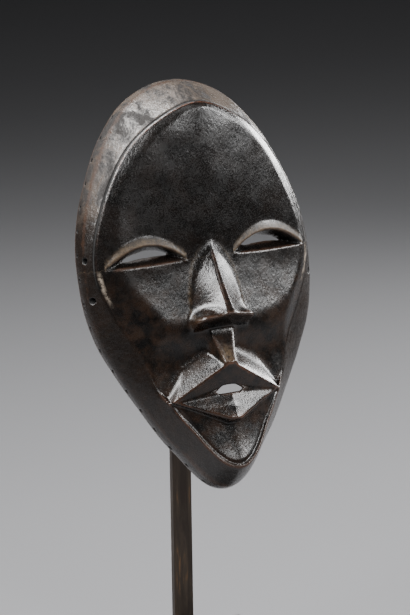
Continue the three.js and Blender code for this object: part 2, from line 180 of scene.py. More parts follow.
def face_depth(x, z):
    """The front of the mask without its nose, lips and eyes."""
    a = np.abs(x)
    angle = np.arctan2(a, z - CENTRE_Z)
    radius = np.hypot(x, z - CENTRE_Z)
    rim = around(RIM_RADII, angle)
    edge = around(EDGE_RADII, angle)
    edge_depth = around(EDGE_DEPTHS, angle)
    inward = np.clip((rim - radius) / (rim - edge), 0, 1)
    band = RIM_THICKNESS + (edge_depth - RIM_THICKNESS) * inward**BAND_POWER
    uneven = FOREHEAD_TILT * x * smoothstep(z, TILT_FROM, TILT_FULL)
    slope = lerp(BEVEL_LEFT, BEVEL_RIGHT, smoothstep(x, -BEVEL_TURN, BEVEL_TURN))
    bevel = edge_depth + slope * (edge - radius)
    upper = soft_min(mid_face(a, z) + uneven, bevel, BEVEL_ROUNDING)
    across = np.sqrt(a * a + CHIN_ROUNDING**2) - CHIN_ROUNDING
    chin = CHIN_DEPTH + CHIN_RISE * (z - CHIN_Z) ** 2 - CHIN_ACROSS * across - CHIN_FALL * a
    lower = lerp(chin, edge_depth, smoothstep(radius / edge, CHIN_GROOVE, 1))
    inner = lerp(upper, lower, smoothstep(-z, -CHIN_FROM, -CHIN_FULL))
    return np.where(radius >= edge, band, inner)


NOSE_TOP, NOSE_TIP = 27.0, -20.0
NOSE_DEPTH, NOSE_LINEAR, NOSE_SQUARE = 32.0, 12.0, 7.5
NOSE_BACK, NOSE_WIDENING, NOSE_HALF_WIDTH, NOSE_POWER = 0.3, 1.7, 14.6, 3.4
NOSE_BASE_Z, NOSE_BASE_DEPTH, NOSE_BASE_SLOPE = -19.3, 50.0, 0.34
NOSE_SINK, NOSE_FLANK, NOSE_TOP_FALL = 1.0, 0.5, 4.0
NOSE_FILLET, NOSE_BASE_ROUNDING = 1.8, 0.9
WING_X, WING_DEPTH, WING_Z = 10.2, 37.0, -21.2
WING_RADII = (7.7, 10.0, 4.3)
WING_FILLET = 6.0


def nose_side(z):
    """Half the nose's width where it meets the face."""
    t = np.clip((NOSE_TOP - z) / (NOSE_TOP - NOSE_TIP), 0, None)
    spread = 1 - np.maximum(1 - t, 0) ** NOSE_POWER
    return NOSE_BACK + NOSE_WIDENING * t + NOSE_HALF_WIDTH * spread


def nose_depth(x, z):
    """The nose's own front surface, a narrow back with flat sides."""
    t = np.clip((NOSE_TOP - z) / (NOSE_TOP - NOSE_TIP), 0, None)
    depth = NOSE_DEPTH + NOSE_LINEAR * t + NOSE_SQUARE * t * t
    back = NOSE_BACK + NOSE_WIDENING * t
    side = nose_side(z)
    foot = np.minimum(face_depth(side, np.maximum(z, NOSE_TIP)), depth) - NOSE_SINK
    slope = (depth - foot) / np.maximum(side - back, NOSE_FLANK)
    above = np.maximum(z - NOSE_TOP, 0) * NOSE_TOP_FALL
    return depth - slope * np.maximum(np.abs(x) - back, 0) - above


# Points of the lips and the mouth (x, depth, z), on the right of the face.
LIP_CORNER = (33.2, 25.5, -65.0)
LIP_UPPER = (1.6, 40.0, -47.0)
LIP_LOWER = (3.5, 38.0, -79.0)
LIP_INSIDE = (1.6, 33.0, -60.0)
LIP_BEND = (26.5, 28.9, -64.2)
LIP_FOLD = (8.0, 23.0, -36.0)
LIP_COLUMN = (3.4, 39.0, -46.6)
LIP_OUTER = (22.5, 22.4, -48.0)
LIP_PHILTRUM = (7.6, 31.5, -26.0)
LIP_FLANK = (12.0, 20.0, -27.0)
LIP_ROOT_DEPTH = 16.0
MOUTH_CORNER = (27.0, 27.5, -65.3)
HOLE_TOP = (2.6, 34.0, -59.2)
HOLE_SIDE = (7.0, 34.0, -62.4)
HOLE_BOTTOM = (5.8, 33.5, -64.0)
HOLE_FLARE = 3.0
# How rounded the edges of each lip and the column are, and the fillets at their feet.
UPPER_EDGES, COLUMN_EDGES, LOWER_EDGES = (0.4, 4.5), (0.8, 3.0), (0.4, 0.8)
HOLE_EDGES, HOLE_ROUNDING, FUNNEL_EDGES, CORNER_OVERSHOOT = 0.3, 0.4, 0.2, 0.5
FUNNEL_ROUNDING, FUNNEL_ROUNDING_LOW, FUNNEL_FROM, FUNNEL_LOW = 0.5, 2.6, -67.0, -72.0

EYE = dict(inner=14.5, outer=62.2, z=15.3, lid=10.7, sag=0.8)
SLIT = dict(inner=21.0, outer=49.5, z=18.8, lid=4.6, sag=-1.6)
SLIT_ROUNDING = 0.6
LID_HEIGHT, LID_WIDTH, LID_THINNEST, LID_NARROWEST, LID_OVERLAP = 1.9, 5.6, 0.15, 0.4, 1.0

# Across the ends of the eyes the carved edge is blurred into a soft shoulder.
SHOULDER_BLUR, SHOULDER_WIDTH = 1.9, 5.0
SHOULDER_TURNS, SHOULDER_HEIGHTS = (70, 82), (-64, -56)
# Fine lines: how deep, how far outside the carved edge, how wide, and their turns from the crown.
RIDGE_LINE, RIDGE_TURNS = (0.6, 0.7, 0.7), (92, 74)
JAW_LINE, JAW_TURNS, JAW_TOP = (0.7, -2.4, 1.2), (143, 152), -60
# Dents of the tool: how deep on the face, the nose and in the hollow.
FACE_DENTS, FACE_FINE_DENTS, NOSE_DENTS = 0.16, 0.04, 0.1
HOLLOW_GOUGES, HOLLOW_EDGE_GOUGES = 0.35, 0.3
BROAD_SIZE, FINE_SIZE, GOUGE_SIZE = 16, 7, 9

RIM_ROUNDING, BACK_ROUNDING, CLIP_ROUNDING = 1.5, 1.2, 0.3
HOLLOW_BLUR, HOLLOW_SLOPE, HOLLOW_ROUNDING, HOLLOW_LIP = 2.5, 1.1, 7.0, 1.0
# Pockets in the hollow behind the nose and the mouth: depth, spread across, height, spread up.
POCKETS = ((9, 9, -8, 17), (7, 16, -62, 12))

# Wear is found where the field, within a reach of the surface, differs from its own blur.
EDGE_REACH, EDGE_BLUR = 6, 1.5

GRID_SPANS = ((-76, 76), (-124, 124), (-3.3, 56))
STEEPEST = 3


TINY, SAME_PLANE = 1e-6, 1e-5


def hull_planes(points):
    """Outward planes (normal, offset) of the convex hull of a few points, by trying every three."""
    p = np.array(points, dtype=float)
    planes = []
    n = len(p)
    for i in range(n):
        for j in range(i + 1, n):
            for k in range(j + 1, n):
                normal = np.cross(p[j] - p[i], p[k] - p[i])
                length = np.linalg.norm(normal)
                if length < TINY:
                    continue
                normal /= length
                off = p @ normal - normal @ p[i]
                if off.min() > -TINY:
                    normal, off = -normal, -off
                if off.max() > TINY:
                    continue
                plane = (*normal, normal @ p[i])
                if not any(np.allclose(plane, other, atol=SAME_PLANE) for other in planes):
                    planes.append(plane)
    return planes


def both(point):
    x, depth, z = point
    return [(x, depth, z), (-x, depth, z)]


def hull_field(points, x, z, d, rounding):
    """How far outside the hull of the points (x, depth, z) a place is, negative within."""
    result = None
    for nx, nd, nz, offset in hull_planes(points):
        side = nx * x + nd * d + nz * z - offset
        result = side if result is None else soft_max(result, side, rounding)
    return result


def noise_map(shape, size, seed):
    """Smooth seeded noise over the grid, of unit spread, with lumps of about that many cells."""
    white = np.random.default_rng(seed).standard_normal(shape)
    fx = np.fft.fftfreq(shape[0])[:, None]
    fz = np.fft.fftfreq(shape[1])[None, :]
    keep = np.exp(-2 * (math.pi * size / 2) ** 2 * (fx**2 + fz**2))
    soft = np.real(np.fft.ifft2(np.fft.fft2(white) * keep))
    return (soft / soft.std()).astype(np.float32)


def blurred(volume, size):
    """The volume smoothed over that many cells."""
    f = [np.fft.fftfreq(n) for n in volume.shape[:2]] + [np.fft.rfftfreq(volume.shape[2])]
    square = f[0][:, None, None] ** 2 + f[1][None, :, None] ** 2 + f[2][None, None, :] ** 2
    soft = np.fft.rfftn(volume) * np.exp(-2 * (math.pi * size) ** 2 * square)
    return np.fft.irfftn(soft, volume.shape).astype(np.float32)


def eye_field(side, x, z, d, front):
    """The slit of one eye, wide at the face and narrow behind."""
    inward = np.clip((front - d) / WALL, -1, 1)
    inner, outer, low, lid, sag = (
        lerp(EYE[key], SLIT[key], inward) for key in ("inner", "outer", "z", "lid", "sag")
    )
    across = (side * x - (inner + outer) / 2) / ((outer - inner) / 2)
    bow = 1 - across**2
    return np.maximum(z - (low + lid * bow), low - sag * bow - z)


RIM_SAMPLES = 1441


def tie_angles():
    """Angles from the crown, right round, of the rim's small holes, evenly spaced along it."""
    turn = np.linspace(0, 2 * math.pi, RIM_SAMPLES)
    radius = around(RIM_RADII, np.minimum(turn, 2 * math.pi - turn))
    steps = np.hypot(np.diff(np.sin(turn) * radius), np.diff(np.cos(turn) * radius))
    lengths = np.concatenate([[0], np.cumsum(steps)])
    count = round(lengths[-1] / TIE_HOLE_SPACING)
    return np.interp(np.arange(count) * lengths[-1] / count, lengths, turn)


def drillings():
    """Angle, diameter and depth of every hole through the rim."""
    ties = [(angle, TIE_HOLE_DIAMETER, TIE_HOLE_DEPTH) for angle in tie_angles()]
    turns = [math.radians(degrees) for degrees in EAR_ANGLES]
    turns += [2 * math.pi - turn for turn in turns]
    return ties + [(turn, EAR_HOLE_DIAMETER, EAR_HOLE_DEPTH) for turn in turns]


# How far inside the rim a drill is centred, how far it cuts either way, and its rounded mouth.
DRILL_INSIDE, DRILL_REACH, DRILL_ROUNDING = 6, 9, 0.3


def drill(f, grid, angle, diameter, depth):
    """Cuts a round hole through the rim into the field, pointing at the face's middle."""
    sin, cos = math.sin(angle), math.cos(angle)
    rim = float(around(RIM_RADII, np.array(min(angle, 2 * math.pi - angle))))
    radius = rim - DRILL_INSIDE
    centre = (radius * sin, CENTRE_Z + radius * cos, depth)
    reach = (DRILL_REACH, DRILL_REACH, diameter / 2 + 2)
    spans = [
        slice(*np.searchsorted(line, (c - r, c + r))) for line, c, r in zip(grid, centre, reach)
    ]
    x, z, d = np.meshgrid(*(line[span] for line, span in zip(grid, spans)), indexing="ij")
    across = x * cos - (z - CENTRE_Z) * sin
    along = np.abs(x * sin + (z - CENTRE_Z) * cos - radius) - DRILL_REACH
    hole = np.maximum(np.hypot(across, d - depth) - diameter / 2, along)
    part = tuple(spans)
    f[part] = soft_max(f[part], -hole, DRILL_ROUNDING)


def deep(plane):
    """A map over the face as a field, the same at every depth."""
    return plane[:, :, None].astype(np.float32)


def face_map(x, z, plain):
    """The face's depths, with its eyelids and the fine lines along its ridge and jaw."""
    angle = np.arctan2(np.abs(x), z - CENTRE_Z)
    outside_edge = np.hypot(x, z - CENTRE_Z) - around(EDGE_RADII, angle)
    soft = blurred(plain[:, :, None], SHOULDER_BLUR / VOXEL)[:, :, 0]
    shoulder = smoothstep(angle, *map(math.radians, SHOULDER_TURNS))
    shoulder = shoulder * smoothstep(z, *SHOULDER_HEIGHTS)
    face = lerp(plain, soft, shoulder * bump(outside_edge, SHOULDER_WIDTH))
    for side in (-1, 1):
        across = np.clip((side * x - EYE["inner"]) / (EYE["outer"] - EYE["inner"]), 0, 1) * 2 - 1
        bow = np.clip(1 - across**2, 0, 1)
        low = EYE["z"] + EYE["lid"] * bow - LID_OVERLAP
        high = low + LID_OVERLAP + LID_WIDTH * lerp(LID_NARROWEST, 1, bow)
        up = (z - low) / (high - low)
        tall = LID_HEIGHT * lerp(LID_THINNEST, 1, bow) * (bow > 0.001)
        lid = tall * np.clip(1 - np.maximum(up, 0), 0, 1)
        face += np.where((up > -0.4) & (up < 1), lid, 0)
    low_turn, high_turn = (-math.radians(turn) for turn in RIDGE_TURNS)
    depth, out, width = RIDGE_LINE
    face -= depth * smoothstep(-angle, low_turn, high_turn) * bump(outside_edge - out, width)
    depth, out, width = JAW_LINE
    jaw = smoothstep(angle, *map(math.radians, JAW_TURNS)) * (z < JAW_TOP)
    face -= depth * jaw * bump(outside_edge - out, width)
    return face


def in_front(heights, d):
    """How far in front of a map of depths each place is, less where the map is steep."""
    steep = np.sqrt(1 + sum(slope**2 for slope in np.gradient(heights, VOXEL)))
    return (d - deep(heights)) / deep(np.clip(steep, 1, STEEPEST))


def nose_field(nose, x, z, d):
    """The nose with its two wings and its slanted base."""
    field = in_front(nose, d)
    for side in (-1, 1):
        q = ((side * x - WING_X) / WING_RADII[0]) ** 2
        q = q + ((d - WING_DEPTH) / WING_RADII[1]) ** 2 + ((z - WING_Z) / WING_RADII[2]) ** 2
        field = soft_min(field, (np.sqrt(q) - 1) * min(WING_RADII), WING_FILLET)
    under = NOSE_BASE_Z - NOSE_BASE_SLOPE * (NOSE_BASE_DEPTH - d)
    return soft_max(field, (under - z) / math.hypot(1, NOSE_BASE_SLOPE), NOSE_BASE_ROUNDING)


def add_lips(f, x, z, d):
    """The upper lip, the column under the nose and the lower lip, each rooted in the face."""
    def root(point, shift):
        return (point[0], LIP_ROOT_DEPTH, point[2] + shift)

    upper = [LIP_CORNER, LIP_BEND, LIP_UPPER, LIP_FOLD, LIP_OUTER]
    upper += [root(LIP_FOLD, 4), root(LIP_OUTER, 3), root(LIP_CORNER, 3), root(LIP_CORNER, -1)]
    column = [LIP_PHILTRUM, LIP_UPPER, LIP_COLUMN, LIP_FLANK, LIP_FOLD, root(LIP_PHILTRUM, 6)]
    lower = [LIP_CORNER, LIP_LOWER, LIP_INSIDE, root(LIP_LOWER, -6), root(LIP_CORNER, 1)]
    bodies = ((upper, UPPER_EDGES), (column, COLUMN_EDGES), (lower, LOWER_EDGES))
    for points, (rounding, fillet) in bodies:
        corners = [corner for point in points for corner in both(point)]
        f = soft_min(f, hull_field(corners, x, z, d, rounding), fillet)
    return f


def hollow_field(plain, gouges, radius, rim, x, z, d):
    """The hollow behind the face, negative in the open, with pockets behind nose and mouth."""
    bottom = blurred(plain[:, :, None], HOLLOW_BLUR / VOXEL)[:, :, 0] - WALL
    bottom = bottom + HOLLOW_GOUGES * gouges
    bottom += sum(deeper * bump(x, wide) * bump(z - up, tall) for deeper, wide, up, tall in POCKETS)
    side = radius - rim + RIM_WIDTH + HOLLOW_EDGE_GOUGES * gouges
    return soft_max((d - deep(bottom)) / HOLLOW_SLOPE, deep(side), HOLLOW_ROUNDING)


def cut_mouth(f, x, z, d):
    """The hole through the mouth, which widens behind, and the funnel between the lips."""
    hole = (HOLE_TOP, HOLE_SIDE, HOLE_BOTTOM)
    flared = [(px * HOLE_FLARE, 0.0, pz) for px, _, pz in hole]
    tunnel = [corner for point in (*hole, *flared) for corner in both(point)]
    f = soft_max(f, -hull_field(tunnel, x, z, d, HOLE_EDGES), HOLE_ROUNDING)

    def beyond(outer, inner, times):
        return tuple(o + (o - i) * times for o, i in zip(outer, inner))

    lips = [beyond(LIP_UPPER, HOLE_TOP, 1), beyond(LIP_LOWER, HOLE_BOTTOM, 1)]
    corner = beyond(MOUTH_CORNER, HOLE_SIDE, CORNER_OVERSHOOT)
    middle = [(0.0, depth, pz) for _, depth, pz in (*lips, HOLE_TOP, HOLE_BOTTOM)]
    funnel = None
    for turn in (-1, 1):
        half = [(turn * px, depth, pz) for px, depth, pz in (*lips, corner, *hole)]
        part = hull_field(half + middle, x, z, d, FUNNEL_EDGES)
        funnel = part if funnel is None else np.minimum(funnel, part)
    lowness = smoothstep(-z, -FUNNEL_FROM, -FUNNEL_LOW)
    return soft_max(f, -funnel, lerp(FUNNEL_ROUNDING, FUNNEL_ROUNDING_LOW, lowness))


def clipped_to_box(f, z, d):
    """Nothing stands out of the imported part's box, above or in front."""
    sin, cos = math.sin(LEAN), math.cos(LEAN)
    top = (cad_box[1][2] - MASK_ORIGIN.z) / MM
    front = (MASK_ORIGIN.y - cad_box[0][1]) / MM
    f = soft_max(f, z * cos + d * sin - top, CLIP_ROUNDING)
    return soft_max(f, d * cos - z * sin - front, CLIP_ROUNDING)


def mask_fields():
    """The carving as a field over a grid, negative in the wood, with maps for its finish."""
    grid = tuple(
        np.arange(low, high + VOXEL, VOXEL, dtype=np.float32) for low, high in GRID_SPANS
    )
    x2, z2 = np.meshgrid(*grid[:2], indexing="ij")
    broad = noise_map(x2.shape, BROAD_SIZE / VOXEL, 1)
    fine = noise_map(x2.shape, FINE_SIZE / VOXEL, 2)
    gouges = noise_map(x2.shape, GOUGE_SIZE / VOXEL, 3)
    radius = np.hypot(x2, z2 - CENTRE_Z)
    rim = around(RIM_RADII, np.arctan2(np.abs(x2), z2 - CENTRE_Z))

    plain = face_depth(x2, z2)
    face = face_map(x2, z2, plain)
    face += FACE_DENTS * broad + FACE_FINE_DENTS * fine
    nose = nose_depth(x2, z2) + NOSE_DENTS * broad

    x, z, d = deep(x2), deep(z2), grid[2][None, None, :]
    f = soft_min(in_front(face, d), nose_field(nose, x, z, d), NOSE_FILLET)
    f = add_lips(f, x, z, d)
    f = soft_max(f, deep(radius - rim), RIM_ROUNDING)
    f = soft_max(f, -d, BACK_ROUNDING)
    hollow = hollow_field(plain, gouges, radius, rim, x2, z2, d)
    f = soft_max(f, -hollow, HOLLOW_LIP)
    f = cut_mouth(f, x, z, d)
    for side in (-1, 1):
        f = soft_max(f, -eye_field(side, x, z, d, deep(face)), SLIT_ROUNDING)
    f = clipped_to_box(f, z, d).astype(np.float32)

    near = np.clip(f, -EDGE_REACH, EDGE_REACH)
    edges = blurred(near, EDGE_BLUR / VOXEL) - near
    for drilling in drillings():
        drill(f, grid, *drilling)
    hollow = np.broadcast_to(hollow, f.shape).astype(np.float32)
    low = np.array([line[0] for line in grid], float)
    return dict(f=f, edges=edges, hollow=hollow, low=low)


def surface_net(field):
    """Points, in cells, and quads of the surface where the field is zero."""
    cells = np.array(field.shape) - 1
    sums = []
    ids = []
    quads = []
    for axis in range(3):
        u, v = (axis + 1) % 3, (axis + 2) % 3
        lows = [slice(None)] * 3
        highs = [slice(None)] * 3
        lows[axis] = slice(0, -1)
        highs[axis] = slice(1, None)
        a, b = field[tuple(lows)], field[tuple(highs)]
        spots = np.argwhere((a < 0) != (b < 0))
        keep = np.ones(len(spots), bool)
        for side in (u, v):
            keep &= (spots[:, side] > 0) & (spots[:, side] < cells[side])
        spots = spots[keep]
        fa = a[tuple(spots.T)]
        fb = b[tuple(spots.T)]
        crossing = spots.astype(float)
        crossing[:, axis] += fa / (fa - fb)
        loop = []
        for du, dv in ((1, 1), (0, 1), (0, 0), (1, 0)):
            cell = spots.copy()
            cell[:, u] -= du
            cell[:, v] -= dv
            flat = np.ravel_multi_index(cell.T, cells)
            loop.append(flat)
            ids.append(flat)
            sums.append(crossing)
        loop = np.stack(loop, 1)
        quads.append(np.where((fa < 0)[:, None], loop, loop[:, ::-1]))
    ids = np.concatenate(ids)
    sums = np.concatenate(sums)
    used, index = np.unique(ids, return_inverse=True)
    count = np.bincount(index).astype(float)
    points = np.stack([np.bincount(index, sums[:, k]) / count for k in range(3)], 1)
    return points, np.searchsorted(used, np.concatenate(quads))


def sampled(volume, places):
    """The volume's value at places given in cells, between the grid's own."""
    i = np.clip(np.floor(places).astype(int), 0, np.array(volume.shape) - 2)
    t = places - i
    total = 0
    for corner in np.ndindex(2, 2, 2):
        weight = np.prod(np.where(corner, t, 1 - t), axis=1)
        total = total + weight * volume[tuple((i + corner).T)]
    return total


def slope_at(volume, places, reach=0.7):
    """The volume's slope at places given in cells."""
    slope = np.empty_like(places)
    for axis in range(3):
        shift = reach * np.eye(3)[axis]
        slope[:, axis] = sampled(volume, places + shift) - sampled(volume, places - shift)
    return slope / (2 * reach)


def from_mask_frame(vectors):
    """World directions of vectors (x, z, depth) in the mask's own frame."""
    return vectors @ MASK_AXES


def line_distance(points, line):
    """How far each point is from the nearest stretch of a line of points."""
    nearest = np.full(len(points), 1e9)
    for a, b in zip(np.array(line[:-1]), np.array(line[1:])):
        t = np.clip((points - a) @ (b - a) / ((b - a) @ (b - a)), 0, 1)
        nearest = np.minimum(nearest, np.linalg.norm(points - a - t[:, None] * (b - a), axis=1))
    return nearest


def thinned(obj, triangles):
    """The object's mesh with no more than about so many triangles."""
    obj.data.calc_loop_triangles()
    now = len(obj.data.loop_triangles)
    if now <= triangles:
        return
    fewer = obj.modifiers.new("fewer", "DECIMATE")
    fewer.ratio = triangles / now
    graph = bpy.context.evaluated_depsgraph_get()
    mesh = bpy.data.meshes.new_from_object(obj.evaluated_get(graph))
    obj.modifiers.remove(fewer)
    obj.data = mesh


FAR_FROM_LID, FAR_FROM_LIP, FAR_FROM_HOLE = 20.0, 10.0, 9.0
FRONT_DEPTH = 14.0


def finish_maps(fields, places):
    """What the wood's finish needs to know of each point, given in cells."""
    x, z, d = (fields["low"] + places * VOXEL).T
    angle = np.arctan2(np.abs(x), z - CENTRE_Z)
    radius = np.hypot(x, z - CENTRE_Z)
    inside = smoothstep(-sampled(fields["hollow"], places), -1.6, -0.4)
    a = np.abs(x)
    across = np.clip((a - EYE["inner"]) / (EYE["outer"] - EYE["inner"]), 0, 1) * 2 - 1
    lid_z = EYE["z"] + EYE["lid"] * (1 - across**2)
    beside = np.where(z > lid_z, FAR_FROM_LID, -FAR_FROM_LID)
    over_eye = (a > EYE["inner"]) & (a < EYE["outer"]) & (d > FRONT_DEPTH)
    lid = np.where(over_eye, z - lid_z, beside)
    bend, top, bottom, end = (
        (px, pz, depth) for px, depth, pz in (LIP_BEND, LIP_UPPER, LIP_LOWER, LIP_CORNER)
    )
    folded = np.stack([a, z, d], 1)
    lips = np.minimum(
        line_distance(folded, [end, bend, top, (0, top[1], top[2])]),
        line_distance(folded, [end, bottom, (0, bottom[1], bottom[2])]),
    )
    return dict(
        across=x,
        up=z,
        depth=d,
        turn=np.degrees(angle),
        ridge=radius - around(EDGE_RADII, angle),
        edges=sampled(fields["edges"], places),
        inside=inside,
        lid=lid,
        lips=np.clip(lips, 0, FAR_FROM_LIP),
        flank=a - nose_side(z),
        holes=hole_distance(x, z, d),
    )


def hole_distance(x, z, d):
    """How far each point is from the wall of the nearest hole drilled through the rim."""
    nearest = np.full(len(x), FAR_FROM_HOLE)
    for angle, diameter, depth in drillings():
        across = x * math.cos(angle) - (z - CENTRE_Z) * math.sin(angle)
        along = x * math.sin(angle) + (z - CENTRE_Z) * math.cos(angle)
        away = np.hypot(across, d - depth) - diameter / 2
        nearest = np.minimum(nearest, np.where(along > 0, away, FAR_FROM_HOLE))
    return nearest


# The net's points are pulled on to the surface a few times, by this many cells at most.
PULLS, PULL_REACH, FLATTEST_SQUARE = 2, 0.4, 0.05


def carve_mask():
    """The carved mask as one mesh, with its finish's maps as attributes and its own normals."""
    fields = mask_fields()
    places, quads = surface_net(fields["f"])
    for _ in range(PULLS):
        slope = slope_at(fields["f"], places, PULL_REACH)
        square = np.maximum((slope**2).sum(1), FLATTEST_SQUARE)
        move = sampled(fields["f"], places) / square
        places -= np.clip(move[:, None] * slope, -PULL_REACH, PULL_REACH)
    world = from_mask_frame(fields["low"] + places * VOXEL) * MM + np.array(MASK_ORIGIN)
    mesh = bpy.data.meshes.new("carved_mask")
    mesh.from_pydata(world.tolist(), [], quads.tolist())
    obj = bpy.data.objects.new("carved_mask", mesh)
    bpy.context.collection.objects.link(obj)
    thinned(obj, TRIANGLES)

    mesh = obj.data
    mesh.name = "carved_mask"
    world = np.empty(3 * len(mesh.vertices))
    mesh.vertices.foreach_get("co", world)
    local = (world.reshape(-1, 3) - np.array(MASK_ORIGIN)) / MM @ MASK_AXES.T
    places = (local - fields["low"]) / VOXEL
    for name, values in finish_maps(fields, places).items():
        layer = mesh.attributes.new(name, "FLOAT", "POINT")
        layer.data.foreach_set("value", np.asarray(values, dtype=np.float32))
    normals = from_mask_frame(slope_at(fields["f"], places))
    normals /= np.maximum(np.linalg.norm(normals, axis=1, keepdims=True), 1e-9)
    mesh.polygons.foreach_set("use_smooth", np.ones(len(mesh.polygons), bool))
    mesh.normals_split_custom_set_from_vertices(normals.tolist())
    return obj


# Materials

class Nodes:
    """A material's node tree, with short ways to add and join nodes."""

    def __init__(self, name):
        self.material = bpy.data.materials.new(name)
        self.material.use_nodes = True
        self.tree = self.material.node_tree
        self.shader = self.tree.nodes["Principled BSDF"]

    def add(self, kind, inputs=None, **settings):
        node = self.tree.nodes.new(kind)
        for key, value in settings.items():
            setattr(node, key, value)
        for key, value in (inputs or {}).items():
            self.join(value, node.inputs[key])
        return node

    def join(self, value, socket):
        if isinstance(value, bpy.types.NodeSocket):
            self.tree.links.new(value, socket)
        else:
            socket.default_value = value

    def place(self):
        return self.add("ShaderNodeTexCoord").outputs["Object"]

    def attribute(self, name):
        return self.add("ShaderNodeAttribute", attribute_name=name).outputs["Fac"]

    def noise(self, scale, detail=4.0, roughness=0.55, distortion=0.0, place=None):
        inputs = {"Scale": scale, "Detail": detail, "Roughness": roughness}
        inputs["Distortion"] = distortion
        inputs["Vector"] = self.place() if place is None else place
        return self.add("ShaderNodeTexNoise", inputs).outputs["Fac"]

    def ramp(self, value, low, high, start=0.0, end=1.0, smooth=False):
        inputs = {"Value": value, "From Min": low, "From Max": high, "To Min": start, "To Max": end}
        kind = "SMOOTHSTEP" if smooth else "LINEAR"
        return self.add("ShaderNodeMapRange", inputs, interpolation_type=kind).outputs["Result"]

    def maths(self, operation, a, b=0.0):
        return self.add("ShaderNodeMath", {0: a, 1: b}, operation=operation).outputs[0]

    def times(self, first, *others):
        for other in others:
            first = self.maths("MULTIPLY", first, other)
        return first

    def plus(self, first, *others):
        for other in others:
            first = self.maths("ADD", first, other)
        return first

    def largest(self, first, *others):
        for other in others:
            first = self.maths("MAXIMUM", first, other)
        return first

    def line(self, value, middle, width):
        """1 where the value is at the middle, falling to 0 at the width either side."""
        off = self.maths("ABSOLUTE", self.maths("SUBTRACT", value, middle))
        return self.ramp(off, 0, width, 1, 0, True)

    def mix(self, share, a, b):
        inputs = {0: share, 6: a, 7: b}
        return self.add(
            "ShaderNodeMix", inputs, data_type="RGBA", clamp_factor=True
        ).outputs[2]

    def bump(self, height, distance, strength=1.0, normal=None):
        inputs = {"Height": height, "Distance": distance, "Strength": strength}
        if normal is not None:
            inputs["Normal"] = normal
        return self.add("ShaderNodeBump", inputs).outputs["Normal"]

    def stretched(self, scale):
        inputs = {"Vector": self.place(), "Scale": scale}
        return self.add("ShaderNodeMapping", inputs).outputs["Vector"]


WOOD = dict(
    black=(0.003, 0.0025, 0.0022, 1),
    brown=(0.009, 0.0062, 0.005, 1),
    warm=(0.03, 0.0165, 0.01, 1),
    mottled=(0.019, 0.0135, 0.011, 1),
    band=(0.013, 0.009, 0.007, 1),
    pale=(0.1, 0.08, 0.066, 1),
    worn=(0.055, 0.028, 0.017, 1),
    red=(0.11, 0.042, 0.022, 1),
    tan=(0.12, 0.084, 0.05, 1),
    painted_highlight=(0.3, 0.25, 0.2, 1),
    # pale, for the painted highlight along the edge below the eyes' outer corners
    lip_tip=(0.1, 0.045, 0.028, 1),
    # near black, for the painted shade in the ridge's groove and the drilled holes
    painted_shade=(0.002, 0.0016, 0.0014, 1),
    raw_dark=(0.028, 0.018, 0.012, 1),
    raw_light=(0.08, 0.05, 0.031, 1),
)


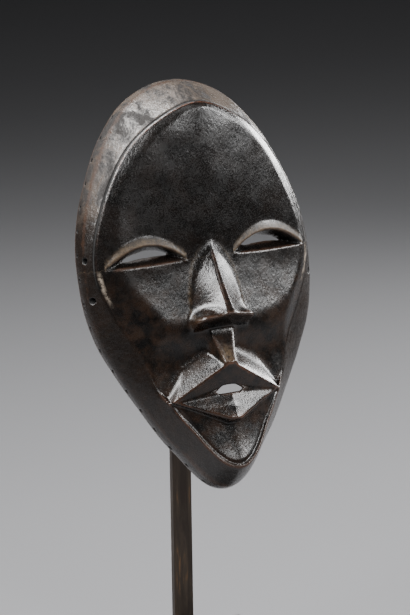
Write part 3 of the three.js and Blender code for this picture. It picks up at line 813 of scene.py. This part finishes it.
def mask_wood():
    """Dark, oiled wood: nearly black, browner and duller in patches, worn on its edges, with a
    painted highlight below the eyes' outer corners and painted shade in the ridge's groove and the
    drilled holes.
    """
    m = Nodes("mask_wood")
    blotch = m.noise(50, 5, 0.6, 0.6)
    mottle = m.noise(380, 4, 0.65)
    speck = m.noise(1700, 2, 0.5)
    ragged = m.noise(240, 4, 0.7)
    ridge, turn, up = m.attribute("ridge"), m.attribute("turn"), m.attribute("up")
    across, depth, lip = m.attribute("across"), m.attribute("depth"), m.attribute("lips")
    inside = m.attribute("inside")
    outside = m.maths("SUBTRACT", 1.0, inside)
    edges = m.attribute("edges")

    colour = m.mix(m.ramp(blotch, 0.46, 0.72), WOOD["black"], WOOD["brown"])
    warm = m.times(m.ramp(up, 20, -15, 0.1, 1, True), m.ramp(m.noise(110, 5, 0.65), 0.42, 0.64))
    colour = m.mix(m.times(warm, 0.7), colour, WOOD["warm"])
    colour = m.mix(m.ramp(mottle, 0.56, 0.76, 0, 0.5), colour, WOOD["mottled"])

    # The side band is browner, and over the crown it is paler, with dark stains.
    band = m.times(m.ramp(ridge, 0.2, 1.4), outside)
    colour = m.mix(m.times(band, 0.65), colour, WOOD["band"])
    stains = m.noise(44, 7, 0.76, 0.4, m.stretched((1.5, 0.7, 0.8)))
    crown = m.times(band, m.ramp(turn, 70, 46, 0, 1, True))
    pale = m.times(crown, m.ramp(stains, 0.46, 0.56))
    colour = m.mix(pale, colour, WOOD["pale"])

    # Wear: brown on every edge, and reddish on the ridge, the jaw line and the lips.
    uneven = m.plus(edges, m.ramp(ragged, 0.3, 0.7, -0.1, 0.1))
    worn = m.times(m.ramp(uneven, 0.2, 0.42), m.ramp(inside, 0, 1, 0.6, 0.35))
    colour = m.mix(worn, colour, WOOD["worn"])
    chipped = m.ramp(ragged, 0.38, 0.6, 0.1, 1)
    crest = m.times(m.line(ridge, -0.3, 0.6), m.ramp(turn, 70, 10, 0.05, 1, True))
    jaw = m.times(m.line(ridge, 0.2, 0.6), m.ramp(turn, 140, 152, 0, 0.35), m.ramp(up, -60, -68))
    ragged_lip = m.plus(lip, m.ramp(mottle, 0.35, 0.65, -0.4, 0.6))
    lip_edge = m.ramp(ragged_lip, 0.4, 1.3, 0.9, 0)
    red = m.times(m.largest(crest, jaw, lip_edge), chipped, outside)
    colour = m.mix(red, colour, WOOD["red"])

    # Rubbed to tan on the lids, beside the nose and on the column under it.
    lid = m.attribute("lid")
    lid = m.times(m.ramp(lid, -0.9, 0.3), m.ramp(lid, 6.0, 1.0, 0, 1, True))
    flank = m.line(m.attribute("flank"), 0.4, 1.9)
    flank = m.times(flank, m.ramp(up, -26, -16), m.ramp(up, 24, 10))
    column = m.times(m.line(across, -1, 6), m.line(up, -42, 8), m.ramp(depth, 27, 31))
    rubbed = m.largest(lid, m.times(flank, 0.4), column)
    patchy = m.ramp(m.noise(520, 6, 0.8), 0.43, 0.58, 0.12, 1.0)
    tan = m.times(rubbed, patchy, outside)
    colour = m.mix(tan, colour, WOOD["tan"])

    # A painted highlight, pale and ragged, along the edge below the eye's outer corner; red-brown
    # wear on the lower lip's tip.
    painted_highlight = m.times(m.line(ridge, -1.4, 1.7), m.ramp(turn, 85, 89), m.ramp(turn, 106, 97))
    painted_highlight = m.times(painted_highlight, m.ramp(ragged, 0.42, 0.56), outside)
    colour = m.mix(painted_highlight, colour, WOOD["painted_highlight"])
    tip = m.times(m.line(across, 2.5, 6), m.line(up, -77, 4.5), m.ramp(ragged, 0.4, 0.6))
    colour = m.mix(m.times(tip, outside), colour, WOOD["lip_tip"])

    # Painted shade: near black in the groove along the ridge and inside the drilled holes; raw wood
    # in the hollow.
    incised = m.times(m.line(ridge, 0.75, 0.55), m.ramp(turn, 96, 78), outside)
    drilled = m.times(m.ramp(m.attribute("holes"), 0.5, 0.1), outside)
    painted_shade = m.largest(incised, drilled)
    colour = m.mix(painted_shade, colour, WOOD["painted_shade"])
    grain = m.ramp(m.noise(90, 6, 0.65), 0.35, 0.65)
    raw = m.mix(grain, WOOD["raw_dark"], WOOD["raw_light"])
    colour = m.mix(inside, colour, raw)
    m.join(colour, m.shader.inputs["Base Color"])

    # The forehead is specked, and what stands out below it is smoother.
    proud = m.times(m.ramp(depth, 29, 35), m.ramp(up, 32, 22))
    stained = m.times(crown, m.ramp(stains, 0.53, 0.43))
    specked = m.times(m.ramp(speck, 0.46, 0.7, -0.03, 0.2), m.ramp(up, 22, 36, 0.5, 1))
    rough = m.ramp(m.noise(150, 4, 0.6), 0.35, 0.68, 0.22, 0.31)
    rough = m.plus(rough, specked, m.times(tan, 0.04), m.times(lid, 0.14))
    rough = m.plus(rough, m.times(painted_shade, 0.5), m.times(proud, -0.06), m.times(stained, 0.5))
    rough = m.plus(rough, m.times(inside, 0.35))
    m.join(rough, m.shader.inputs["Roughness"])

    # Bumps, in metres: pores, mottling, specks, tool marks and the line along the ridge.
    pores = m.ramp(m.noise(900, 2, 0.5, 0, m.stretched((1.0, 1.0, 0.3))), 0.4, 0.55)
    normal = m.bump(pores, 0.00006, 0.5)
    normal = m.bump(mottle, 0.00016, 0.5, normal)
    normal = m.bump(m.times(speck, m.ramp(up, 22, 36, 0.15, 1)), 0.00007, 0.6, normal)
    tooled = m.largest(band, m.ramp(lip, 9, 5, 0, 0.35))
    normal = m.bump(m.times(m.noise(170, 4, 0.65), tooled, outside), 0.0009, 0.55, normal)
    normal = m.bump(m.times(incised, -1.0), 0.0004, 0.8, normal)
    m.join(normal, m.shader.inputs["Normal"])
    m.shader.inputs["Specular IOR Level"].default_value = 0.55
    return m.material


BAR_DARK, BAR_BROWN = (0.05, 0.04, 0.034, 1), (0.1, 0.078, 0.06, 1)
BAR_BRASS = (0.32, 0.16, 0.06, 1)
BLOCK_BLACK, BLOCK_WORN = (0.012, 0.012, 0.013, 1), (0.02, 0.02, 0.021, 1)


def bar_metal():
    """A flat bar, browned and streaked, brassy where the patina has rubbed through."""
    m = Nodes("stand_bar")
    streaks = m.noise(60, 5, 0.65, 0.4, m.stretched((3.0, 3.0, 0.35)))
    fine = m.noise(700, 3, 0.6, 0, m.stretched((1.0, 1.0, 0.12)))
    colour = m.mix(m.ramp(streaks, 0.4, 0.66), BAR_DARK, BAR_BROWN)
    rubbed = m.times(m.ramp(streaks, 0.55, 0.7), m.ramp(fine, 0.45, 0.6))
    colour = m.mix(rubbed, colour, BAR_BRASS)
    m.join(colour, m.shader.inputs["Base Color"])
    m.join(m.ramp(fine, 0.3, 0.7, 0.36, 0.55), m.shader.inputs["Roughness"])
    m.join(m.bump(fine, 0.0001, 0.4), m.shader.inputs["Normal"])
    m.shader.inputs["Metallic"].default_value = 0.85
    return m.material


def block_metal():
    """Satin black paint with a faint orange-peel skin."""
    m = Nodes("stand_block")
    skin = m.noise(900, 2, 0.5)
    patch = m.noise(30, 4, 0.6)
    m.join(m.mix(patch, BLOCK_BLACK, BLOCK_WORN), m.shader.inputs["Base Color"])
    m.join(m.ramp(patch, 0.3, 0.7, 0.34, 0.46), m.shader.inputs["Roughness"])
    m.join(m.bump(skin, 0.00008, 0.35), m.shader.inputs["Normal"])
    return m.material


# The pieces

def dress(obj, material):
    """Gives the object this one material."""
    obj.data.materials.clear()
    obj.data.materials.append(material)


carved = carve_mask()
dress(carved, mask_wood())
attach(carved, "root")
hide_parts("mask")

# The bar and the block stay as they are packed, with small rounded edges.
for node, material, width in (
    ("stand_post", bar_metal(), 0.4 * MM),
    ("stand_base", block_metal(), 0.6 * MM),
):
    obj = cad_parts[node]
    dress(obj, material)
    soft = obj.modifiers.new("soft_edges", "BEVEL")
    soft.width = width
    soft.segments = 3
    soft.limit_method = "ANGLE"


# The studio

FLOOR_REACH, FLOOR_GREY = 25.0, (0.195, 0.195, 0.202, 1)


def floor():
    """A plain floor, pale enough for the lights to fall off across it."""
    a = FLOOR_REACH
    corners = [(-a, -a, 0), (a, -a, 0), (a, a, 0), (-a, a, 0)]
    mesh = bpy.data.meshes.new("floor")
    mesh.from_pydata(corners, [], [(0, 1, 2, 3)])
    obj = bpy.data.objects.new("floor", mesh)
    bpy.context.collection.objects.link(obj)
    m = Nodes("floor_paper")
    m.shader.inputs["Base Color"].default_value = FLOOR_GREY
    m.shader.inputs["Roughness"].default_value = 0.9
    mesh.materials.append(m.material)


# Each soft light: its name, direction from the mask, distance, size and power.
SOFTBOXES = (
    ("right_box", (0.86, 0.06, 0.5), 1.3, (0.3, 0.4), 1.4),
    ("right_low_box", (0.97, 0.05, 0.18), 1.3, (0.4, 0.3), 3.4),
    ("right_front_box", (0.66, -0.63, 0.43), 1.3, (0.4, 0.26), 3.6),
    ("lip_box", (0.83, -0.3, 0.47), 1.3, (0.2, 0.2), 1.2),
    ("rim_box", (0.86, 0.47, 0.16), 1.3, (0.4, 0.3), 4.0),
    ("left_box", (-0.8, 0.08, 0.59), 1.3, (0.5, 0.45), 6.5),
    ("left_front_box", (-0.72, -0.32, 0.61), 1.3, (0.2, 0.3), 1.7),
    ("back_box", (-0.42, 0.42, 0.8), 1.3, (0.5, 0.5), 7.5),
    ("top_box", (0.1, 0.6, 0.8), 1.3, (0.7, 0.4), 0.9),
    ("front_box", (0.06, -0.88, 0.47), 1.5, (0.4, 0.3), 1.5),
    ("front_top_box", (-0.05, -0.5, 0.86), 1.5, (0.6, 0.3), 0.7),
)
SPREAD = math.radians(100)
WORLD_GREY, WORLD_STRENGTH = (0.5, 0.5, 0.52, 1), 0.07


def softbox(name, direction, distance, size, power):
    """One rectangular light, turned to the middle of the mask."""
    light = bpy.data.lights.new(name, "AREA")
    light.shape = "RECTANGLE"
    light.size, light.size_y = size
    light.energy = power
    light.spread = SPREAD
    obj = bpy.data.objects.new(name, light)
    away = Vector(direction).normalized()
    obj.location = MASK_ORIGIN + away * distance
    obj.rotation_euler = away.to_track_quat("Z", "Y").to_euler()
    bpy.context.collection.objects.link(obj)


# The photograph's view: the mask's own origin is at this pixel, at this many pixels to a metre.
PHOTO = (410, 615)
ORIGIN_PIXEL = (193.7, 284.9)
SCALE = 1722.0
AZIMUTH, ELEVATION, ROLL = math.radians(-24), math.radians(17), math.radians(0.9)
DISTANCE = 2.6
FARTHEST_SEEN = 50


def camera():
    """The camera at the photograph's angle, placed so that the mask falls where it does there."""
    a, e = AZIMUTH, ELEVATION
    right = Vector((math.cos(a), math.sin(a), 0))
    back = Vector((math.sin(a) * math.cos(e), -math.cos(a) * math.cos(e), math.sin(e)))
    up = back.cross(right)
    rolled_right = right * math.cos(ROLL) - up * math.sin(ROLL)
    rolled_up = right * math.sin(ROLL) + up * math.cos(ROLL)
    data = bpy.data.cameras.new("camera")
    data.sensor_fit = "HORIZONTAL"
    data.lens = SCALE * DISTANCE / PHOTO[0] * data.sensor_width
    obj = bpy.data.objects.new("camera", data)
    across = (PHOTO[0] / 2 - ORIGIN_PIXEL[0]) / SCALE
    upward = (ORIGIN_PIXEL[1] - PHOTO[1] / 2) / SCALE
    place = MASK_ORIGIN + back * DISTANCE + rolled_right * across + rolled_up * upward
    turn = Matrix((rolled_right, rolled_up, back)).transposed().to_4x4()
    obj.matrix_world = Matrix.Translation(place) @ turn
    data.clip_end = FARTHEST_SEEN
    bpy.context.collection.objects.link(obj)
    bpy.context.scene.camera = obj


def studio():
    """The floor, the soft lights and a faint grey all round."""
    floor()
    for light in SOFTBOXES:
        softbox(*light)
    world = bpy.data.worlds.new("studio")
    world.use_nodes = True
    background = world.node_tree.nodes["Background"]
    background.inputs["Color"].default_value = WORLD_GREY
    background.inputs["Strength"].default_value = WORLD_STRENGTH
    bpy.context.scene.world = world


camera()
studio()
